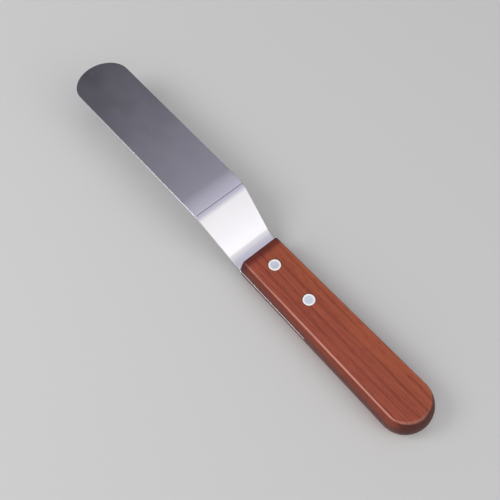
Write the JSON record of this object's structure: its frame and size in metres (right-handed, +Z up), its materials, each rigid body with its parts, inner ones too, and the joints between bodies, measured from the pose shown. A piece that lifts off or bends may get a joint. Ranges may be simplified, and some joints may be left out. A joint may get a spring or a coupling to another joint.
{
  "type": "offset spatula",
  "caption": "Offset icing spatula: thin round-tipped steel blade with a cranked neck, its tang riveted into a slotted wooden handle.",
  "frame": {"origin": "halfway along the whole length, on the plane of symmetry, level with the handle's flat underside", "axes": "+X runs along the tool from the blade's tip towards the handle's butt, +Y across it, +Z up, from the handle's underside towards the raised blade"},
  "size_m": [0.2734, 0.033, 0.0259],
  "materials": {
    "blade_steel": "cold-rolled stainless spring steel, satin, with faint lengthwise brushing and fine use scratches",
    "handle_wood": "red-brown stained hardwood with dark lengthwise pores under a thin worn varnish, semi-gloss",
    "rivet_steel": "bright plated steel, polished, with a slightly dished head"
  },
  "bodies": {
    "root": {"blade": "blade_steel", "handle": "handle_wood", "front_rivet_tube": "rivet_steel", "front_rivet_pin": "rivet_steel", "rear_rivet_tube": "rivet_steel", "rear_rivet_pin": "rivet_steel"}
  },
  "joints": []
}
